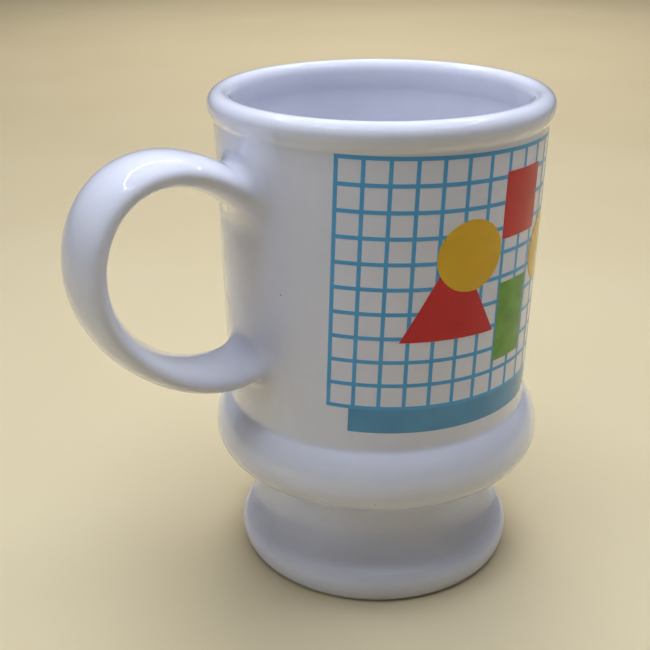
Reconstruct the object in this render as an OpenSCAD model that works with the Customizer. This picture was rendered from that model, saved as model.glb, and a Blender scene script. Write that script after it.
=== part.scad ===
// Pedestal mug in glazed stoneware, millimetres, +Z up.
// Origin on the mug's axis in the plane it stands on; the handle points along -X.

/* [Cup] */
// Height of the rim above the table
rim_top_z = 127; // [125.5:0.1:129]
// Largest radius of the rolled rim
rim_r = 42.8; // [42.2:0.1:44.4]
// Height where the rolled rim meets the wall
rim_low_z = 120.5; // [119.8:0.1:121.4]
// Outside radius of the wall under the rim
wall_top_r = 41.4; // [40.6:0.1:42]
// Outside radius of the wall where it meets the bulge
wall_low_r = 39.5; // [38.6:0.1:40.4]
// Height where the wall meets the bulge
wall_low_z = 46.4; // [45.4:0.1:48]
// Wall thickness
wall_t = 3.6; // [3:0.1:4.4]
// Thickness of the cup's floor
floor_t = 4.4; // [3.6:0.1:5.4]

/* [Bulge] */
// Largest radius of the bulge
bulge_r = 43.9; // [42:0.1:46]
// Height of the bulge's widest line
bulge_z = 36.8; // [35.8:0.1:37.8]

/* [Pedestal] */
// Height of the flat underside that the foot is luted to
joint_z = 26; // [25:0.1:27]
// Thickness of the luting slip
slip_t = 0.5; // [0.3:0.1:0.8]
// Radius of the narrow waist
waist_r = 29.4; // [28.4:0.1:30]
// Largest radius of the foot
foot_r = 37.7; // [36.8:0.1:39.5]
// Outer radius of the bare ring that stands on the table
land_out_r = 35.6; // [34.4:0.1:35.8]
// Inner radius of that ring
land_in_r = 32.8; // [31.6:0.1:33.4]
// Radius of the hollow at its narrow top
hollow_r = 25.9; // [24:0.1:26.4]

/* [Handle] */
// Height of the handle's centre line at the upper joint
handle_top_z = 105; // [102:0.1:107]
// Height of the centre line at the lower joint
handle_low_z = 64; // [62:0.1:68]
// Centre line's farthest distance from the axis
handle_reach = 80.1; // [74:0.1:86]
// Height of that farthest point
handle_mid_z = 93.7; // [89:0.1:99]
// Half thickness of the strap at the upper joint
strap_top = 4.1; // [3.4:0.05:4.6]
// Half thickness of the strap at the lower joint
strap_low = 3.6; // [3.2:0.05:4.4]
// Half width of the strap across the handle
strap_wide = 9.5; // [7:0.1:10.4]
// Radius of the slip fillet at the joints
fillet_r = 4; // [2.5:0.1:4.6]

/* [Decal] */
// Width of one column of the grid, degrees round the wall
cell_deg = 8.52; // [8.2:0.01:8.6]
// Height of one row of the grid
cell_h = 6.08; // [5.9:0.01:6.2]
// Height of the grid's top line
grid_top_z = 119.1; // [118.4:0.1:119.4]
// Columns in one printed sheet
columns = 16; // [12:1:16]
// Azimuth of the first sheet's left border
sheet_deg = 218.8; // [216:0.1:219]
// Slant of the first sheet, degrees
slant = -1.48; // [-1.6:0.01:0.5]
// Thickness of the print
ink_t = 0.12; // [0.08:0.01:0.2]
// Width of the grid's lines
line_w = 0.94; // [0.5:0.01:1.2]

/* [Hidden] */
$fn = 96;
rows = 10;
wall_k = (wall_top_r - wall_low_r) / (rim_low_z - wall_low_z);
foot_top_z = joint_z - slip_t;
floor_z = joint_z + floor_t;
grid_low_z = grid_top_z - rows * cell_h;
cream = [0.93, 0.93, 0.95];

// ---- shared shapes ----

function wall_r(z) = wall_low_r + (z - wall_low_z) * wall_k;

function arc(c, rx, rz, a0, a1, n) =
    [for (i = [0 : n])
        let (a = a0 + (a1 - a0) * i / n)
        [c[0] + rx * cos(a), c[1] + rz * sin(a)]];

// The wall's solid cone, grown outward by off.
module wall_core(off) {
    z0 = wall_low_z;
    translate([0, 0, z0])
        cylinder(h = rim_low_z - z0, r1 = wall_r(z0) + off, r2 = wall_r(rim_low_z) + off);
}

// ---- cup ----

rim_c = [39.6, rim_top_z - 3.1];
bulge_c = [34.9, bulge_z];
bulge_rx = bulge_r - bulge_c[0];
low_rz = 8.2;
top_rz = (wall_low_z - bulge_z) / sqrt(1 - pow((wall_low_r - bulge_c[0]) / bulge_rx, 2));
rim_rx = rim_r - rim_c[0];
rim_rz = rim_top_z - rim_c[1];
lip_rx = 2.5;
rim_low_a = -acos((wall_r(rim_low_z) - rim_c[0]) / rim_rx);
rim_low_rz = (rim_low_z - rim_c[1]) / sin(rim_low_a);
top_a = acos((wall_low_r - bulge_c[0]) / bulge_rx);
inner_low_r = wall_low_r - wall_t;

cup_outer = concat(
    [[0, joint_z], [30.9, joint_z]],
    arc([30.9, joint_z + 3], 3, 3, -80, -62, 2),
    arc(bulge_c, bulge_rx, low_rz, -72, 0, 12),
    arc(bulge_c, bulge_rx, top_rz, 7, top_a, 8),
    arc(rim_c, rim_rx, rim_low_rz, rim_low_a, 0, 8),
    arc(rim_c, rim_rx, rim_rz, 10, 90, 8),
    arc(rim_c, lip_rx, rim_rz, 100, 180, 8));

cup_inner = concat(
    [[wall_r(rim_low_z) - wall_t, rim_low_z - 1], [inner_low_r, wall_low_z + 2]],
    arc([inner_low_r + 2.6, wall_low_z - 3], 2.6, 4.2, 170, 150, 2),
    arc([bulge_r - 9.5, bulge_z + 1.2], 5.6, 6.4, 38, -62, 12),
    [[28, floor_z + 0.25], [24, floor_z], [0, floor_z]]);

module cup_body() {
    color(cream)
        rotate_extrude()
            polygon(concat(cup_outer, cup_inner));
}

// ---- pedestal ----

edge_t = 4.1;
edge_low_rx = 2.2;
edge_c = [foot_r - edge_t, 4.6];
edge_low_c = [foot_r - edge_low_rx, edge_c[1]];
edge_a = 58;
edge_top = edge_c + edge_t * [cos(edge_a), sin(edge_a)];

// The concave flare is part of an ellipse that meets the rounded edge along its tangent.
flare_run = edge_top[0] - waist_r;
flare_z = 21;
flare_drop = flare_z - edge_top[1];
flare_k = flare_run / (flare_drop * tan(edge_a));
flare_a = acos(flare_k / (1 - flare_k));
flare_rx = flare_run / (1 - cos(flare_a));
flare_rz = flare_drop / sin(flare_a);
flare_c = [waist_r + flare_rx, flare_z];

foot_profile = concat(
    [[30.7, foot_top_z]],
    [[30, foot_top_z - 1.3]],
    arc(flare_c, flare_rx, flare_rz, 172, 176 + flare_a, 14),
    arc(edge_c, edge_t, edge_t, edge_a, 0, 7),
    arc(edge_low_c, edge_low_rx, edge_c[1], -12, -74, 6),
    [[land_out_r, 0], [land_in_r, 0]],
    arc([hollow_r - 0.1 + 9, flare_z], 9, 19.4, 240, 180, 10),
    [[hollow_r, foot_top_z]]);

module pedestal_foot() {
    color([0.9, 0.9, 0.93])
        rotate_extrude()
            polygon(foot_profile);
}

module foot_joint_slip() {
    color([0.84, 0.83, 0.8])
        translate([0, 0, foot_top_z])
            difference() {
                cylinder(h = slip_t, r = 30.8);
                translate([0, 0, -1])
                    cylinder(h = slip_t + 2, r = hollow_r);
            }
}

// ---- handle: an oval strap swept along two cubic arcs ----

top_dir = 43.5;
low_dir = 26.6;
p0 = [39.5, handle_top_z];
p1 = p0 + 28.3 * [cos(top_dir), sin(top_dir)];
p3 = [handle_reach, handle_mid_z];
p2 = p3 + [0, 20.2];
p4 = p3 - [0, 21];
p6 = [39.5, handle_low_z];
p5 = p6 + 16.2 * [cos(low_dir), -sin(low_dir)];
inset = 9;
around = 36;

function cubic(a, b, c, d, t) =
    pow(1 - t, 3) * a + 3 * pow(1 - t, 2) * t * b + 3 * (1 - t) * t * t * c + pow(t, 3) * d;
function slope(a, b, c, d, t) =
    3 * (pow(1 - t, 2) * (b - a) + 2 * (1 - t) * t * (c - b) + t * t * (d - c));
function unit(v) = v / norm(v);

// Station s runs 0 to 2 along the strap; below 0 and above 2 it runs straight into the cup.
function centre(s) =
    s < 0 ? p0 + s * inset * unit(p1 - p0)
    : s < 1 ? cubic(p0, p1, p2, p3, s)
    : s <= 2 ? cubic(p3, p4, p5, p6, s - 1)
    : p6 + (s - 2) * inset * unit(p6 - p5);
function heading(s) =
    s <= 0 ? unit(p1 - p0)
    : s < 1 ? unit(slope(p0, p1, p2, p3, s))
    : s < 2 ? unit(slope(p3, p4, p5, p6, s - 1))
    : unit(p6 - p5);
function thick(s) = strap_top + (strap_low - strap_top) * max(0, min(2, s)) / 2;

// How far the fillet spreads at a distance d from the wall.
function spread(d) =
    d <= 0 ? fillet_r
    : d >= fillet_r ? 0
    : fillet_r * (1 - sqrt(1 - pow(1 - d / fillet_r, 2)));

// One point of the strap's surface, handle along -X.
function strap_point(s, a) =
    let (c = centre(s), t = heading(s), n = [t[1], -t[0]], h = thick(s))
    let (u = h * cos(a), v = strap_wide * sin(a))
    let (q = c + u * n, d = norm([q[0], v]) - wall_r(q[1]))
    let (out = unit([cos(a) / h, sin(a) / strap_wide]), e = spread(d))
    let (w = c + (u + e * out[0]) * n)
    [-w[0], v + e * out[1], w[1]];

module strap(stations) {
    m = len(stations);
    pts = [for (s = stations) for (i = [0 : around - 1]) strap_point(s, 360 * i / around)];
    side = [for (j = [0 : m - 2]) for (i = [0 : around - 1])
        let (k = (i + 1) % around, a = j * around, b = (j + 1) * around)
        each [[a + i, b + i, b + k], [a + i, b + k, a + k]]];
    caps = [[for (i = [0 : around - 1]) i],
            [for (i = [0 : around - 1]) m * around - 1 - i]];
    polyhedron(points = pts, faces = concat(side, caps));
}

top_end = [for (i = [0 : 13]) -1 + i * 0.1];
low_end = [for (i = [0 : 13]) 1.7 + i * 0.1];
mid_run = [for (i = [1 : 27]) 0.3 + i * 0.05];

module handle() {
    color([0.88, 0.9, 0.95])
        difference() {
            strap(concat(top_end, mid_run, low_end));
            wall_core(slip_t);
        }
}

module joint_slip(stations) {
    color([0.84, 0.83, 0.8])
        intersection() {
            difference() {
                wall_core(slip_t);
                wall_core(0);
            }
            strap(stations);
        }
}

module upper_joint_slip() {
    joint_slip(top_end);
}

module lower_joint_slip() {
    joint_slip(low_end);
}

// ---- printed decal: two sheets, one each side of the handle ----

back_deg = 143.4 - columns * cell_deg;

module film() {
    difference() {
        wall_core(ink_t);
        wall_core(0);
    }
}

// Puts a sheet's shapes on the wall, slanted about its fourth column.
module sheet(start, tilt) {
    mid = start + 3.5 * cell_deg;
    rotate([0, 0, mid])
        translate([0, 0, 88])
            rotate([tilt, 0, 0])
                translate([0, 0, -88])
                    rotate([0, 0, start - mid])
                        children();
}

// A block that covers columns k0 to k1 and rows j0 to j1. A cutter is deeper by g at both faces.
module patch(k0, k1, j0, j1, g = 0) {
    translate([0, 0, grid_top_z - j1 * cell_h])
        rotate_extrude(angle = (k1 - k0) * cell_deg, start = k0 * cell_deg)
            translate([36 - g, 0])
                square([6 + 2 * g, (j1 - j0) * cell_h]);
}

module disc(k, j) {
    rotate([0, 0, k * cell_deg])
        translate([30, 0, grid_top_z - j * cell_h])
            rotate([0, 90, 0])
                cylinder(h = 16, r = 1.425 * cell_h);
}

module triangle() {
    base = 2 * cell_h;
    rise = 3.85 * cell_h;
    rotate([0, 0, 4.73 * cell_deg])
        translate([30, 0, grid_top_z - 7.17 * cell_h])
            rotate([90, 0, 90])
                linear_extrude(height = 16)
                    polygon([[-base, 0], [base, 0], [0, rise]]);
}

module red_block() {
    patch(6.91, 9.25, 0.82, 3.45, 1);
}

module green_block() {
    patch(7, 8.9, 5.27, 8.6, 1);
}

module discs() {
    disc(5.4, 3.85);
    disc(10.65, 4.6);
}

module red_pair() {
    triangle();
    red_block();
}

// The sheet without its windows, shapes and discs.
module grid_lines() {
    edge = line_w / 2 / cell_h;
    difference() {
        patch(-edge, columns + edge, -edge, rows + edge);
        for (k = [0 : columns - 1])
            for (j = [0 : rows - 1])
                patch(k + edge, k + 1 - edge, j + edge, j + 1 - edge, 1);
        red_pair();
        discs();
        green_block();
    }
}

module both_sheets() {
    sheet(sheet_deg, slant)
        children();
    sheet(back_deg, 0)
        children();
}

module decal_grid() {
    color([0.29, 0.53, 0.69])
        intersection() {
            film();
            both_sheets()
                grid_lines();
        }
}

module decal_shadow_bar() {
    edge = rows + line_w / 2 / cell_h;
    side = columns + line_w / 2 / cell_h;
    color([0.36, 0.6, 0.75])
        intersection() {
            film();
            both_sheets()
                union() {
                    patch(0.83, columns + 0.83, edge, 11.1);
                    patch(side, columns + 0.83, 1, edge);
                }
        }
}

module decal_red_shapes() {
    color([0.78, 0.13, 0.16])
        intersection() {
            film();
            both_sheets()
                difference() {
                    red_pair();
                    discs();
                }
        }
}

module decal_yellow_discs() {
    color([0.87, 0.66, 0.14])
        intersection() {
            film();
            both_sheets()
                discs();
        }
}

module decal_green_blocks() {
    color([0.42, 0.6, 0.2])
        intersection() {
            film();
            both_sheets()
                green_block();
        }
}

cup_body();
pedestal_foot();
foot_joint_slip();
handle();
upper_joint_slip();
lower_joint_slip();
decal_grid();
decal_shadow_bar();
decal_red_shapes();
decal_yellow_discs();
decal_green_blocks();
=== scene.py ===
"""A glazed stoneware mug on a pedestal foot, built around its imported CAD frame.

Sizes below are millimetres in the row frame: +Z up, the mug's axis at the origin, the handle along -X.
"""

import math

import bpy
import numpy as np
from mathutils import Matrix, Vector


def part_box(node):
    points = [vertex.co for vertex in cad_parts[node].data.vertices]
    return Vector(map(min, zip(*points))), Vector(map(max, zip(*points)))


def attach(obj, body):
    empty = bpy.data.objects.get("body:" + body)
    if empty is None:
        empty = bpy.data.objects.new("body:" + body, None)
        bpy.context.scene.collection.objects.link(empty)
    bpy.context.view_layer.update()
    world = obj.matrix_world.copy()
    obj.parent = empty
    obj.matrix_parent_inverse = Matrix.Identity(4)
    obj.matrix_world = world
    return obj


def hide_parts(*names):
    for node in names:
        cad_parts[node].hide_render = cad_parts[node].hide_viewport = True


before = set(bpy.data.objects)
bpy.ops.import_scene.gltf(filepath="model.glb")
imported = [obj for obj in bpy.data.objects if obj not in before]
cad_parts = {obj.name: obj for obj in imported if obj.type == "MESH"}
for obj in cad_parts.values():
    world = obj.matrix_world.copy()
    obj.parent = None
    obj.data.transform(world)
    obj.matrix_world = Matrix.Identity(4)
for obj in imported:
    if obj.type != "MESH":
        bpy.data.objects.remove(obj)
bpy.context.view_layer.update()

MM = 0.001


def box_mm(node):
    low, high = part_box(node)
    return low / MM, high / MM


# ---------------------------------------------------------------- sizes from the frame

CUP_LOW, CUP_HIGH = box_mm("cup_body")
FOOT_HIGH = box_mm("pedestal_foot")[1]
SLIP_RING_LOW, SLIP_RING_HIGH = box_mm("foot_joint_slip")

RIM_TOP_Z = CUP_HIGH.z
BULGE_R = CUP_HIGH.x
JOINT_Z = CUP_LOW.z
FOOT_R = FOOT_HIGH.x
FOOT_TOP_Z = FOOT_HIGH.z

# ---------------------------------------------------------------- sizes of the shapes

RIM_R = 42.8
RIM_CENTRE = (39.6, RIM_TOP_Z - 3.1)
LIP_RX = 2.5
RIM_LOW_Z = 120.5
WALL_TOP_R = 41.4
WALL_LOW_R = 39.5
WALL_LOW_Z = 46.4
WALL_T = 3.6
FLOOR_T = 4.4
FLOOR_Z = JOINT_Z + FLOOR_T
CREASE_R = 0.9
BULGE_CENTRE = (34.9, 36.8)
BULGE_LOW_RZ = 8.2

WAIST_R = 29.4
LAND_OUT_R = 35.6
LAND_IN_R = 32.8
HOLLOW_R = 25.9
EDGE_ROUND = 4.1
EDGE_LOW_RX = 2.2
EDGE_Z = 4.6
EDGE_START = 58
FLARE_Z = 21.0
BARE_TOP_Z = 0.7

HANDLE_TOP_Z = 105.0
HANDLE_LOW_Z = 64.0
HANDLE_REACH = 80.1
HANDLE_MID_Z = 93.7
STRAP_TOP = 4.1
STRAP_LOW = 3.6
STRAP_WIDE = 9.5
FILLET = 4.0
SLIP_SHARE = 0.72
HANDLE_ROOT_R = 39.5
TOP_LEAVES_DEG = 43.5
TOP_PULL = 28.3
LOW_LEAVES_DEG = 26.6
LOW_PULL = 16.2
REACH_PULL_UP = 20.2
REACH_PULL_DOWN = 21.0

CELL_DEG = 8.52
CELL_H = 6.08
GRID_TOP_Z = 119.1
COLUMNS = 16
ROWS = 10
PIVOT_Z = 88.0
LINE_W = 0.94
DISC_R = 1.425
BAR_START = 0.83
BAR_LOW_ROW = 11.1
# Azimuth of each sheet's left border and its slant, degrees.
SHEETS = ((218.8, -1.48), (143.4 - COLUMNS * CELL_DEG, 0.0))
# Heights over the wall: the inks lie one over another, and their undersides are sunk in the glaze.
GRID_LIFT = 0.05
SHAPE_LIFT = 0.08
DISC_LIFT = 0.11
SUNK = -0.03

TURNS = 288


def wall_r(z):
    share = (np.asarray(z, float) - WALL_LOW_Z) / (RIM_LOW_Z - WALL_LOW_Z)
    return WALL_LOW_R + share * (WALL_TOP_R - WALL_LOW_R)


# ---------------------------------------------------------------- mesh helpers

def arc(centre, rx, rz, start, end, count):
    a = np.radians(np.linspace(start, end, count))
    return np.column_stack([centre[0] + rx * np.cos(a), centre[1] + rz * np.sin(a)])


def turn(before, tip, after, count=7):
    """A small smooth turn from before to after, bending about tip."""
    t = np.linspace(0, 1, count)[:, None]
    b, m, a = (np.asarray(p, float) for p in (before, tip, after))
    return (1 - t) ** 2 * b + 2 * t * (1 - t) * m + t * t * a


def line(start, end, count):
    t = np.linspace(0, 1, count)[:, None]
    return (1 - t) * np.asarray(start, float) + t * np.asarray(end, float)


def chain(*parts):
    """Joins runs of profile points and drops points that repeat."""
    points = np.vstack([np.atleast_2d(p) for p in parts])
    step = np.linalg.norm(np.diff(points, axis=0), axis=1)
    return points[np.concatenate([[True], step > 1e-4])]


def add_object(name, points, faces, body="root"):
    """A smooth-shaded mesh object from points in millimetres."""
    mesh = bpy.data.meshes.new(name)
    mesh.from_pydata([tuple(p * MM) for p in np.asarray(points, float)], [], faces)
    mesh.validate()
    mesh.shade_smooth()
    obj = bpy.data.objects.new(name, mesh)
    bpy.context.scene.collection.objects.link(obj)
    if body:
        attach(obj, body)
    return obj


def revolve(name, profile, closed=False, turns=TURNS):
    """Turns a profile of (r, z) about Z. Points at r = 0 become poles; a closed profile joins its ends."""
    points = []
    rings = []
    spin = 2 * np.pi * np.arange(turns) / turns
    for r, z in profile:
        start = len(points)
        if r < 1e-6:
            points.append((0, 0, z))
            rings.append([start] * turns)
        else:
            points += [(r * c, r * s, z) for c, s in zip(np.cos(spin), np.sin(spin))]
            rings.append(list(range(start, start + turns)))
    pairs = list(zip(rings, rings[1:]))
    if closed:
        pairs.append((rings[-1], rings[0]))
    faces = []
    for a, b in pairs:
        for i in range(turns):
            k = (i + 1) % turns
            corners = [a[i], a[k], b[k], b[i]]
            faces.append(list(dict.fromkeys(corners)))
    return add_object(name, np.array(points, float), faces)


# ---------------------------------------------------------------- materials

class Shader:
    """A material whose nodes are added one at a time."""

    def __init__(self, name, colour, roughness, **sockets):
        self.material = bpy.data.materials.new(name)
        self.material.use_nodes = True
        self.tree = self.material.node_tree
        self.bsdf = self.tree.nodes["Principled BSDF"]
        self.bsdf.inputs["Base Color"].default_value = (*colour, 1)
        self.bsdf.inputs["Roughness"].default_value = roughness
        for socket, value in sockets.items():
            self.bsdf.inputs[socket.replace("_", " ")].default_value = value
        place = self.add("ShaderNodeTexCoord")
        scale = self.add("ShaderNodeVectorMath", operation="SCALE")
        scale.inputs["Scale"].default_value = 1 / MM
        self.link(place.outputs["Object"], scale.inputs[0])
        self.place = scale.outputs[0]

    def add(self, kind, **settings):
        node = self.tree.nodes.new(kind)
        for key, value in settings.items():
            setattr(node, key, value)
        return node

    def link(self, a, b):
        self.tree.links.new(a, b)

    def noise(self, size, detail=2.0, rough=0.5):
        """Noise whose features are about size millimetres across."""
        node = self.add("ShaderNodeTexNoise")
        node.inputs["Scale"].default_value = 1 / size
        node.inputs["Detail"].default_value = detail
        node.inputs["Roughness"].default_value = rough
        self.link(self.place, node.inputs["Vector"])
        return node.outputs["Fac"]

    def mix(self, factor, a, b, blend="MIX"):
        node = self.add("ShaderNodeMix", data_type="RGBA", blend_type=blend)
        for socket, value in ((node.inputs[0], factor), (node.inputs[6], a), (node.inputs[7], b)):
            if isinstance(value, bpy.types.NodeSocket):
                self.link(value, socket)
            elif isinstance(value, tuple):
                socket.default_value = (*value, 1)
            else:
                socket.default_value = value
        return node.outputs[2]

    def math(self, operation, a, b=0.0):
        node = self.add("ShaderNodeMath", operation=operation)
        for socket, value in zip(node.inputs, (a, b)):
            if isinstance(value, bpy.types.NodeSocket):
                self.link(value, socket)
            else:
                socket.default_value = value
        return node.outputs[0]

    def span(self, value, low, high, to_low=0.0, to_high=1.0):
        node = self.add("ShaderNodeMapRange", clamp=True)
        for name, number in (("From Min", low), ("From Max", high), ("To Min", to_low), ("To Max", to_high)):
            node.inputs[name].default_value = number
        self.link(value, node.inputs["Value"])
        return node.outputs["Result"]

    def specks(self, spacing, size, share):
        """1 inside small sparse dots about size millimetres across, 0 elsewhere."""
        node = self.add("ShaderNodeTexVoronoi", feature="F1")
        node.inputs["Scale"].default_value = 1 / spacing
        self.link(self.place, node.inputs["Vector"])
        dot = self.span(node.outputs["Distance"], size / spacing * 0.5, size / spacing * 0.3)
        chosen = self.add("ShaderNodeSeparateColor")
        self.link(node.outputs["Color"], chosen.inputs[0])
        return self.math("MULTIPLY", dot, self.math("LESS_THAN", chosen.outputs[0], share))

    def bump(self, *layers):
        """Adds up layers of (height, strength, distance in millimetres) as one normal."""
        normal = None
        for height, strength, distance in layers:
            node = self.add("ShaderNodeBump")
            node.inputs["Strength"].default_value = strength
            node.inputs["Distance"].default_value = distance * MM
            self.link(height, node.inputs["Height"])
            if normal is not None:
                self.link(normal, node.inputs["Normal"])
            normal = node.outputs["Normal"]
        self.link(normal, self.bsdf.inputs["Normal"])

    def colour(self, socket):
        self.link(socket, self.bsdf.inputs["Base Color"])

    def rough(self, socket):
        self.link(socket, self.bsdf.inputs["Roughness"])


GLAZE_WHITE = (0.76, 0.765, 0.86)
GLAZE_POOLED = (0.71, 0.72, 0.83)
CLAY = (0.80, 0.72, 0.58)
SPECK = (0.20, 0.15, 0.12)


def glaze_colour(shader, white, pooled):
    """Milky glaze: slow clouding, finer mottling and a few iron specks."""
    clouds = shader.span(shader.noise(26, 3), 0.35, 0.65)
    base = shader.mix(clouds, white, pooled)
    fine = shader.span(shader.noise(2.2, 3), 0.3, 0.7)
    base = shader.mix(shader.math("MULTIPLY", fine, 0.12), base, (0.87, 0.86, 0.86))
    dots = shader.specks(13, 0.55, 0.35)
    return shader.mix(shader.math("MULTIPLY", dots, 0.75), base, SPECK), dots


def glaze_bump(shader, dots):
    shader.bump((shader.noise(9, 1), 0.25, 0.12), (shader.noise(1.4, 2), 0.12, 0.012), (dots, -0.4, 0.05))


def make_glaze(name, white=GLAZE_WHITE, pooled=GLAZE_POOLED):
    shader = Shader(name, white, 0.1, Specular_IOR_Level=0.35, Coat_Weight=0.8, Coat_Roughness=0.03)
    base, dots = glaze_colour(shader, white, pooled)
    shader.colour(base)
    shader.rough(shader.span(shader.noise(7, 3), 0.3, 0.7, 0.1, 0.19))
    glaze_bump(shader, dots)
    return shader.material


def make_foot_glaze(name):
    """Glaze that stops just above the bare ring the mug stands on."""
    shader = Shader(name, GLAZE_WHITE, 0.12, Specular_IOR_Level=0.5)
    base, dots = glaze_colour(shader, GLAZE_WHITE, GLAZE_POOLED)
    split = shader.add("ShaderNodeSeparateXYZ")
    shader.link(shader.place, split.inputs[0])
    edge = shader.math("ADD", split.outputs["Z"], shader.span(shader.noise(3, 2), 0, 1, -0.35, 0.35))
    bare = shader.span(edge, BARE_TOP_Z + 0.12, BARE_TOP_Z - 0.12)
    grain = shader.span(shader.noise(0.5, 4, 0.7), 0.3, 0.7)
    clay = shader.mix(grain, CLAY, (0.70, 0.60, 0.46))
    shader.colour(shader.mix(bare, base, clay))
    shader.rough(shader.math("ADD", shader.math("MULTIPLY", bare, 0.6), 0.13))
    glaze_bump(shader, dots)
    return shader.material


def make_ink(name, deep, light, streak=14.0):
    """Printed enamel under a clear gloss, slightly uneven in tone and at a fine grain; a short streak size
    makes finer, stronger streaks, which on the green are painted reflection.
    """
    shader = Shader(name, deep, 0.14, Specular_IOR_Level=0.35, Coat_Weight=0.15, Coat_Roughness=0.04)
    # Slow changes of tone in the print; with the green's short streak size they are painted reflection
    # streaks.
    uneven_tone_and_painted_streaks = shader.span(shader.noise(streak, 2), 0.3, 0.7)
    base = shader.mix(uneven_tone_and_painted_streaks, deep, light)
    grain = shader.math("MULTIPLY", shader.span(shader.noise(0.35, 2), 0.42, 0.62), 0.02)
    pale = tuple(0.6 * c + 0.4 for c in light)
    shader.colour(shader.mix(grain, base, pale))
    shader.rough(shader.span(shader.noise(5, 2), 0.3, 0.7, 0.12, 0.22))
    shader.bump((shader.noise(9, 1), 0.25, 0.12), (shader.noise(0.5, 2), 0.1, 0.006))
    return shader.material


glaze = make_glaze("glaze")
slip_glaze = make_glaze("slip_glaze", (0.74, 0.74, 0.81), (0.69, 0.69, 0.77))
foot_glaze = make_foot_glaze("foot_glaze")
blue = make_ink("enamel_blue", (0.075, 0.36, 0.68), (0.095, 0.41, 0.74))
bar_blue = make_ink("enamel_pale_blue", (0.065, 0.26, 0.46), (0.10, 0.33, 0.56))
red = make_ink("enamel_red", (0.60, 0.005, 0.011), (0.68, 0.010, 0.016))
yellow = make_ink("enamel_yellow", (0.76, 0.42, 0.008), (0.83, 0.49, 0.014))
# The green's short streak size paints streaks of reflection into its colour, over its own uneven print.
green = make_ink("enamel_green", (0.10, 0.30, 0.02), (0.17, 0.40, 0.035), 5.0)


def finish_piece(obj, material, slot, *nodes):
    obj.data.materials.clear()
    obj.data.materials.append(material)
    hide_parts(*nodes)
    return obj


# ---------------------------------------------------------------- cup

def cup_profile():
    bulge_rx = BULGE_R - BULGE_CENTRE[0]
    top_share = (WALL_LOW_R - BULGE_CENTRE[0]) / bulge_rx
    top_rz = (WALL_LOW_Z - BULGE_CENTRE[1]) / math.sqrt(1 - top_share ** 2)
    top_a = math.degrees(math.acos(top_share))
    rim_rx = RIM_R - RIM_CENTRE[0]
    rim_rz = RIM_TOP_Z - RIM_CENTRE[1]
    low_a = -math.degrees(math.acos((WALL_TOP_R - RIM_CENTRE[0]) / rim_rx))
    low_rz = (RIM_LOW_Z - RIM_CENTRE[1]) / math.sin(math.radians(low_a))
    crease = (WALL_LOW_R, WALL_LOW_Z)
    collar = (WALL_TOP_R, RIM_LOW_Z)
    inner_r = WALL_LOW_R - WALL_T

    underside = chain((0, JOINT_Z), line((4, JOINT_Z), (30.3, JOINT_Z), 8), (30.9, JOINT_Z + 0.05))
    bulge_low = arc(BULGE_CENTRE, bulge_rx, BULGE_LOW_RZ, -78, 0, 40)
    bulge_top = arc(BULGE_CENTRE, bulge_rx, top_rz, 0, top_a - 5, 36)
    wall_start = (wall_r(WALL_LOW_Z + CREASE_R), WALL_LOW_Z + CREASE_R)
    wall_end = (wall_r(RIM_LOW_Z - 0.6), RIM_LOW_Z - 0.6)
    bead_low = arc(RIM_CENTRE, rim_rx, low_rz, low_a + 16, 0, 26)
    bead_top = arc(RIM_CENTRE, rim_rx, rim_rz, 0, 90, 26)
    lip = arc(RIM_CENTRE, LIP_RX, rim_rz, 90, 180, 22)
    inner_top = (wall_r(RIM_LOW_Z) - WALL_T, RIM_LOW_Z - 2)
    inner_low = (inner_r, WALL_LOW_Z + 3)
    throat = (inner_r + 0.4, WALL_LOW_Z - 2.5)
    belly = arc((BULGE_R - 9.5, BULGE_CENTRE[1] + 1.2), 5.6, 6.4, 30, -70, 30)
    basin = turn(belly[-1], (29.5, FLOOR_Z), (24, FLOOR_Z), 12)
    return chain(
        underside, bulge_low, bulge_top, turn(bulge_top[-1], crease, wall_start),
        line(wall_start, wall_end, 30), turn(wall_end, collar, bead_low[0]), bead_low, bead_top, lip,
        turn(lip[-1], (lip[-1][0], RIM_CENTRE[1] - 2.5), inner_top, 8), line(inner_top, inner_low, 24),
        turn(inner_low, throat, belly[0], 10), belly, basin,
        line((20, FLOOR_Z), (3, FLOOR_Z), 8), (0, FLOOR_Z))


finish_piece(revolve("cup_body_glazed", cup_profile()), glaze, "glazed_clay", "cup_body")


# ---------------------------------------------------------------- pedestal foot and its joint

def foot_profile():
    edge_centre = np.array([FOOT_R - EDGE_ROUND, EDGE_Z])
    edge = arc(edge_centre, EDGE_ROUND, EDGE_ROUND, EDGE_START, 0, 26)
    edge_low = arc((FOOT_R - EDGE_LOW_RX, EDGE_Z), EDGE_LOW_RX, EDGE_Z, -4, -78, 24)
    run, drop = edge[0][0] - WAIST_R, FLARE_Z - edge[0][1]
    share = run / (drop * math.tan(math.radians(EDGE_START)))
    sweep = math.acos(share / (1 - share))
    flare_rx, flare_rz = run / (1 - math.cos(sweep)), drop / math.sin(sweep)
    flare = arc((WAIST_R + flare_rx, FLARE_Z), flare_rx, flare_rz, 172, 179.5 + math.degrees(sweep), 60)
    hollow = arc((HOLLOW_R + 8.9, FLARE_Z), 9, 19.4, 243, 180, 40)
    return chain(
        (30.7, FOOT_TOP_Z), (30.45, FOOT_TOP_Z - 0.5), flare, edge, edge_low,
        turn(edge_low[-1], (LAND_OUT_R + 0.2, 0), (LAND_OUT_R - 0.5, 0), 5), (LAND_IN_R + 0.4, 0),
        turn((LAND_IN_R + 0.3, 0), (LAND_IN_R - 0.1, 0.1), hollow[0], 5), hollow, (HOLLOW_R, FOOT_TOP_Z))


finish_piece(revolve("pedestal_foot_glazed", foot_profile(), closed=True), foot_glaze,
             "glazed_clay", "pedestal_foot")


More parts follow.
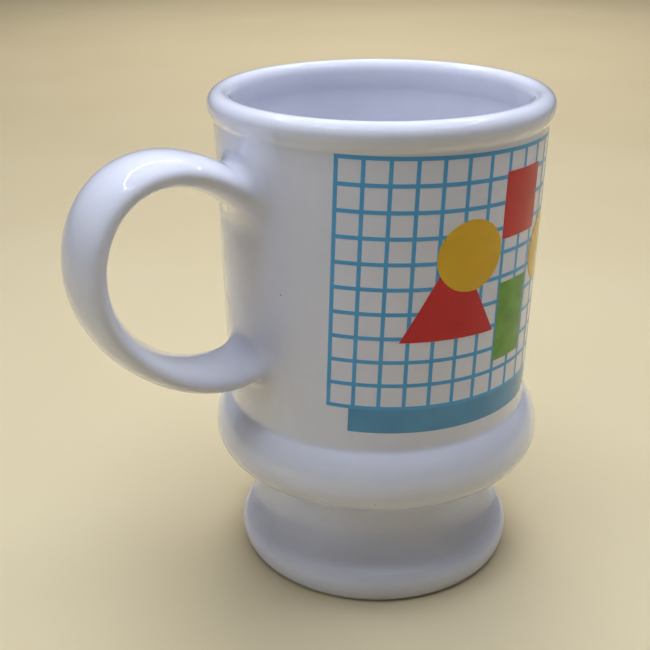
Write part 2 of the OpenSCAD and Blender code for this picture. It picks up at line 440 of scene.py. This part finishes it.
def slip_ring_profile():
    middle = (SLIP_RING_LOW.z + SLIP_RING_HIGH.z) / 2
    half = (SLIP_RING_HIGH.z - SLIP_RING_LOW.z) / 2
    bead = arc((30.3, middle), 0.5, half, -90, 90, 12)
    return chain((HOLLOW_R, SLIP_RING_LOW.z), bead, (HOLLOW_R, SLIP_RING_HIGH.z))


finish_piece(revolve("foot_joint_slip_bead", slip_ring_profile(), closed=True), slip_glaze,
             "luting_slip", "foot_joint_slip")


# ---------------------------------------------------------------- handle

AROUND = 96
BLEND_ROWS = 22
INSET = 9.0


def handle_frame(s):
    """Centre, heading and half thickness of the strap at station s, in the handle's own plane (out, up)."""
    top_dir, low_dir = math.radians(TOP_LEAVES_DEG), math.radians(LOW_LEAVES_DEG)
    p0 = np.array([HANDLE_ROOT_R, HANDLE_TOP_Z])
    p1 = p0 + TOP_PULL * np.array([math.cos(top_dir), math.sin(top_dir)])
    p3 = np.array([HANDLE_REACH, HANDLE_MID_Z])
    p2 = p3 + (0, REACH_PULL_UP)
    p4 = p3 - (0, REACH_PULL_DOWN)
    p6 = np.array([HANDLE_ROOT_R, HANDLE_LOW_Z])
    p5 = p6 + LOW_PULL * np.array([math.cos(low_dir), -math.sin(low_dir)])
    half = STRAP_TOP + (STRAP_LOW - STRAP_TOP) * min(max(s, 0), 2) / 2
    if s <= 0 or s >= 2:
        a, b = (p0, p1) if s <= 0 else (p6, p5)
        way = (b - a) / np.linalg.norm(b - a)
        if s <= 0:
            return a + s * INSET * way, way, half
        return a - (s - 2) * INSET * way, -way, half
    a, b, c, d = (p0, p1, p2, p3) if s < 1 else (p3, p4, p5, p6)
    t = s if s < 1 else s - 1
    q = (1 - t) ** 3 * a + 3 * (1 - t) ** 2 * t * b + 3 * (1 - t) * t * t * c + t ** 3 * d
    way = (1 - t) ** 2 * (b - a) + 2 * (1 - t) * t * (c - b) + t * t * (d - c)
    return q, way / np.linalg.norm(way), half


def strap_point(s, a):
    """A point of the strap's skin and its outward direction, as (out, across, up)."""
    q, way, half = handle_frame(s)
    normal = np.array([way[1], -way[0]])
    u, v = half * math.cos(a), STRAP_WIDE * math.sin(a)
    w = q + u * normal
    out = np.array([math.cos(a) / half, math.sin(a) / STRAP_WIDE])
    out /= np.linalg.norm(out)
    return np.array([w[0], v, w[1]]), np.array([out[0] * normal[0], out[1], out[0] * normal[1]])


def unroll(p, radius):
    """(out, across, up) as (arc length, up, height over the wall)."""
    rho = math.hypot(p[0], p[1])
    return np.array([radius * math.atan2(p[1], p[0]), p[2], rho - float(wall_r(p[2]))])


def roll(q, radius):
    rho = float(wall_r(q[1])) + q[2]
    angle = q[0] / radius
    return np.array([rho * math.cos(angle), rho * math.sin(angle), q[1]])


def joint_rows(sign, s_wall):
    """Rows of points that carry the strap's skin down onto the wall in a round fillet.

    sign is +1 at the upper end and -1 at the lower end. Returns the station where each rail leaves
    the strap, and rows from there down to the wall."""
    radius = float(wall_r(handle_frame(s_wall)[0][1]))
    rails, grid = [], []
    for i in range(AROUND):
        a = 2 * math.pi * i / AROUND
        low, high = s_wall - sign * 1.0, s_wall + sign * 0.45
        for _ in range(40):
            s = (low + high) / 2
            if unroll(strap_point(s, a)[0], radius)[2] > FILLET:
                high = s
            else:
                low = s
        start, out = strap_point(s, a)
        start = unroll(start, radius)
        ahead = unroll(strap_point(s + sign * 0.004, a)[0], radius)
        slope = (ahead - start) / np.linalg.norm(ahead - start)
        tip = start - slope * start[2] / slope[2]
        angle = math.atan2(strap_point(s, a)[0][1], strap_point(s, a)[0][0])
        side = np.array([-out[0] * math.sin(angle) + out[1] * math.cos(angle), out[2], 0])
        side /= np.linalg.norm(side)
        length = np.linalg.norm(start - tip)
        foot_point = tip + side * length
        spread = math.acos(np.clip(np.dot(start - tip, side) / length, -1, 1))
        weight = math.sin(spread / 2)
        rows = []
        for t in np.linspace(0, 1, BLEND_ROWS):
            b0, b1, b2 = (1 - t) ** 2, 2 * t * (1 - t) * weight, t * t
            q = (b0 * start + b1 * tip + b2 * foot_point) / (b0 + b1 + b2)
            rows.append(roll(q, radius))
        rails.append(s)
        grid.append(rows)
    return np.array(rails), np.array(grid).transpose(1, 0, 2)


def skin_normals(rows):
    """Vertex normals of a tube made of rows of points, pointing outward."""
    along = np.gradient(rows, axis=0)
    round_ = np.roll(rows, -1, axis=1) - np.roll(rows, 1, axis=1)
    n = np.cross(round_, along)
    return n / np.linalg.norm(n, axis=2, keepdims=True)


def tube_piece(name, rows, normals, material, slot, node):
    """A closed tube through rows of points with a fan cap at each end, shaded by the given normals."""
    m, n = rows.shape[:2]
    world = rows * (-1, 1, 1)
    points = [p for row in world for p in row] + [world[0].mean(0), world[-1].mean(0)]
    faces = []
    for j in range(m - 1):
        for i in range(n):
            k = (i + 1) % n
            faces.append([j * n + i, (j + 1) * n + i, (j + 1) * n + k, j * n + k])
    for i in range(n):
        k = (i + 1) % n
        faces.append([m * n, i, k])
        faces.append([m * n + 1, (m - 1) * n + k, (m - 1) * n + i])
    obj = add_object(name, points, faces)
    flat = [tuple(v) for row in normals * (-1, 1, 1) for v in row]
    caps = [(world[0].mean(0) - world[1].mean(0)), (world[-1].mean(0) - world[-2].mean(0))]
    flat += [tuple(c / np.linalg.norm(c)) for c in caps]
    obj.data.normals_split_custom_set_from_vertices(flat)
    return finish_piece(obj, material, slot, node)


def build_handle():
    top_rails, top_rows = joint_rows(1, 0.0)
    low_rails, low_rows = joint_rows(-1, 2.0)
    middle = []
    for t in np.linspace(0, 1, 150)[1:-1]:
        ring = []
        for i in range(AROUND):
            s = top_rails[i] + (low_rails[i] - top_rails[i]) * t
            ring.append(strap_point(s, 2 * math.pi * i / AROUND)[0])
        middle.append(ring)
    skin = np.concatenate([top_rows[::-1], np.array(middle), low_rows])
    normals = skin_normals(skin)
    outward = skin[len(skin) // 2] - skin[len(skin) // 2].mean(0)
    if (normals[len(skin) // 2] * outward).sum() < 0:
        normals = -normals
    cut = round(BLEND_ROWS * SLIP_SHARE)
    top = BLEND_ROWS - 1 - cut
    low = len(skin) - BLEND_ROWS + cut
    tube_piece("handle_glazed", skin[top:low + 1], normals[top:low + 1], glaze, "glazed_clay", "handle")
    tube_piece("upper_joint_slip_skirt", skin[:top + 1], normals[:top + 1], glaze, "luting_slip",
               "upper_joint_slip")
    tube_piece("lower_joint_slip_skirt", skin[low:], normals[low:], glaze, "luting_slip", "lower_joint_slip")


build_handle()


# ---------------------------------------------------------------- printed decal

def on_sheet(k, j, sheet, lift):
    """Column k and row j of a sheet as a point lift millimetres over the wall."""
    start, tilt = math.radians(sheet[0]), math.radians(sheet[1])
    middle = start + math.radians(3.5 * CELL_DEG)
    up = GRID_TOP_Z - j * CELL_H - PIVOT_Z
    across = (k - 3.5) * math.radians(CELL_DEG) * float(wall_r(PIVOT_Z))
    z2 = PIVOT_Z + across * math.sin(tilt) + up * math.cos(tilt)
    angle = middle + (across * math.cos(tilt) - up * math.sin(tilt)) / wall_r(z2)
    r = wall_r(z2) + lift
    return np.column_stack([r * np.cos(angle), r * np.sin(angle), z2])


def film(name, flats, lift, material, slot, node):
    """A printed film: flats are (points in columns and rows, faces), pressed onto both sheets."""
    points, faces = [], []
    for sheet in SHEETS:
        for kj, cells in flats:
            kj = np.asarray(kj, float)
            count = len(kj)
            start = sum(len(p) for p in points)
            points.append(on_sheet(kj[:, 0], kj[:, 1], sheet, lift))
            points.append(on_sheet(kj[:, 0], kj[:, 1], sheet, SUNK))
            border = {}
            for cell in cells:
                faces.append([start + i for i in cell])
                faces.append([start + count + i for i in reversed(cell)])
                for a, b in zip(cell, cell[1:] + cell[:1]):
                    if (b, a) in border:
                        del border[(b, a)]
                    else:
                        border[(a, b)] = True
            for a, b in border:
                faces.append([start + b, start + a, start + count + a, start + count + b])
    obj = add_object(name, np.vstack(points), faces)
    obj.data.set_sharp_from_angle(angle=math.radians(50))
    return finish_piece(obj, material, slot, node)


def lattice(ks, js, keep=lambda k, j: True):
    """Cells between the lines ks and js whose middle passes keep."""
    points = [(k, j) for k in ks for j in js]
    n = len(js)
    cells = []
    for a in range(len(ks) - 1):
        for b in range(n - 1):
            if keep((ks[a] + ks[a + 1]) / 2, (js[b] + js[b + 1]) / 2):
                cells.append([a * n + b, a * n + b + 1, (a + 1) * n + b + 1, (a + 1) * n + b])
    used = sorted({i for cell in cells for i in cell})
    index = {v: i for i, v in enumerate(used)}
    return [points[i] for i in used], [[index[i] for i in cell] for cell in cells]


def columns_across(millimetres):
    """Sideways distance on the flat artwork as columns of the wrapped sheet."""
    share = np.clip(np.asarray(millimetres, float) / 40.0, -1, 1)
    return np.degrees(np.arcsin(share)) / CELL_DEG


def block(k0, k1, j0, j1):
    return lattice(np.linspace(k0, k1, max(3, round((k1 - k0) * 6) + 1)), np.linspace(j0, j1, 9))


def disc(k, j, radius=DISC_R):
    rings, spokes = 6, 120
    points, cells = [(k, j)], []
    for r in range(1, rings + 1):
        a = 2 * np.pi * np.arange(spokes) / spokes
        size = radius * CELL_H * r / rings
        across = k + columns_across(size * np.cos(a))
        points += list(zip(across, j + size * np.sin(a) / CELL_H))
    for i in range(spokes):
        n = (i + 1) % spokes
        cells.append([0, 1 + n, 1 + i])
        for r in range(rings - 1):
            a, b = 1 + r * spokes, 1 + (r + 1) * spokes
            cells.append([a + i, a + n, b + n, b + i])
    return points, cells


def triangle(k, j, half_base, rise):
    """Base centred on column k at row j, point upward."""
    steps = 24
    points, cells = [], []
    for row in range(steps + 1):
        up = row / steps
        for i in range(steps + 1):
            side = (2 * i / steps - 1) * half_base * CELL_H * (1 - up * 0.9999)
            points.append((k + float(columns_across(side)), j - rise * up))
    for row in range(steps):
        for i in range(steps):
            a = row * (steps + 1) + i
            cells.append([a, a + 1, a + steps + 2, a + steps + 1])
    return points, cells


def grid_lines():
    edge_k = math.degrees(LINE_W / 2 / 40.4) / CELL_DEG
    edge_j = LINE_W / 2 / CELL_H

    def breaks(count, edge, steps):
        marks = []
        for i in range(count + 1):
            marks += [i - edge, i, i + edge]
            if i < count:
                marks += list(np.linspace(i + edge, i + 1 - edge, steps + 1)[1:-1])
        return marks

    def inked(k, j):
        return abs(k - round(k)) < edge_k or abs(j - round(j)) < edge_j

    return lattice(breaks(COLUMNS, edge_k, 5), breaks(ROWS, edge_j, 1), inked)


film("decal_grid_ink", [grid_lines()], GRID_LIFT, blue, "enamel_blue", "decal_grid")
bar_top = ROWS + LINE_W / 2 / CELL_H
bar_right = COLUMNS + BAR_START
film("decal_shadow_bar_ink",
     [block(BAR_START, bar_right, bar_top, BAR_LOW_ROW), block(COLUMNS + 0.08, bar_right, 1, bar_top)],
     GRID_LIFT, bar_blue, "enamel_pale_blue", "decal_shadow_bar")
film("decal_red_ink", [triangle(4.73, 7.17, 2, 3.85), block(6.91, 9.25, 0.82, 3.45)], SHAPE_LIFT, red,
     "enamel_red", "decal_red_shapes")
film("decal_yellow_ink", [disc(5.4, 3.85), disc(10.65, 4.6)], DISC_LIFT, yellow, "enamel_yellow",
     "decal_yellow_discs")
film("decal_green_ink", [block(7, 8.9, 5.27, 8.6)], SHAPE_LIFT, green, "enamel_green", "decal_green_blocks")


# ---------------------------------------------------------------- studio

def make_floor():
    half = 3000.0
    corners = [(-half, -half, 0), (half, -half, 0), (half, half, 0), (-half, half, 0)]
    floor = add_object("studio_floor", corners, [[0, 1, 2, 3]], body=None)
    shader = Shader("studio_floor", (0.66, 0.56, 0.36), 0.6)
    tone = shader.span(shader.noise(160, 2), 0.3, 0.7)
    shader.colour(shader.mix(tone, (0.65, 0.55, 0.35), (0.68, 0.58, 0.38)))
    floor.data.materials.append(shader.material)


RING_LAMPS = 42
RING_R = 170.0
RING_Z = 350.0
RING_POWER = 1.3
LAMP_R = 3.0
WORLD_STRENGTH = 0.05
COOL = (0.80, 0.88, 1.0)


def area_light(name, place, aim, size, power, colour):
    """A soft light that lights surfaces but isn't seen in the glaze."""
    data = bpy.data.lights.new(name, "AREA")
    data.shape = "RECTANGLE"
    data.size, data.size_y = (s * MM for s in size)
    data.energy = power
    data.color = colour
    obj = bpy.data.objects.new(name, data)
    bpy.context.scene.collection.objects.link(obj)
    obj.visible_glossy = False
    obj.location = Vector(place) * MM
    obj.rotation_euler = (Vector(aim) - Vector(place)).to_track_quat("-Z", "Y").to_euler()


def make_lights():
    world = bpy.data.worlds.new("studio")
    bpy.context.scene.world = world
    world.use_nodes = True
    sky = world.node_tree.nodes["Background"]
    sky.inputs["Color"].default_value = (0.80, 0.85, 1.0, 1)
    sky.inputs["Strength"].default_value = WORLD_STRENGTH
    for i in range(RING_LAMPS):
        a = 2 * math.pi * i / RING_LAMPS
        data = bpy.data.lights.new("ring_lamp", "POINT")
        data.energy = RING_POWER / RING_LAMPS
        data.color = (0.90, 0.94, 1.0)
        data.shadow_soft_size = LAMP_R * MM
        obj = bpy.data.objects.new("ring_lamp", data)
        bpy.context.scene.collection.objects.link(obj)
        obj.location = Vector((RING_R * math.cos(a), RING_R * math.sin(a), RING_Z)) * MM
    area_light("overhead", (0, 0, 620), (0, 0, 0), (420, 420), 3.3, (0.84, 0.90, 1.0))
    area_light("left", (-520, 60, 300), (0, 0, 80), (300, 300), 0.55, COOL)
    area_light("right", (480, -260, 260), (0, 0, 60), (260, 300), 0.35, COOL)
    area_light("beyond", (560, 760, 700), (560, 760, 0), (900, 900), 7.5, (1.0, 0.98, 0.95))


def make_camera():
    """The camera in the row frame: distance and height over the table, then pan, tilt and roll."""
    azimuth, distance, height = math.radians(-36.5), 263.7, 176.7
    pan, tilt, roll_angle, lens = -0.0527, 0.4076, -0.0032, 58.93
    forward = Vector((math.sin(pan) * math.cos(tilt), math.cos(pan) * math.cos(tilt), -math.sin(tilt)))
    right = Vector((math.cos(pan), -math.sin(pan), 0))
    up = right.cross(forward)
    level = math.cos(roll_angle) * right + math.sin(roll_angle) * up
    crown = -math.sin(roll_angle) * right + math.cos(roll_angle) * up
    swing = Matrix.Rotation(azimuth, 4, "Z")
    basis = Matrix((level, crown, -forward)).transposed().to_4x4()
    basis.translation = Vector((0, -distance, height)) * MM
    data = bpy.data.cameras.new("camera")
    data.lens = lens
    data.sensor_width = 36
    data.clip_start = 0.01
    obj = bpy.data.objects.new("camera", data)
    bpy.context.scene.collection.objects.link(obj)
    obj.matrix_world = swing @ basis
    bpy.context.scene.camera = obj


make_floor()
make_lights()
make_camera()
bpy.context.scene.view_settings.view_transform = "Standard"
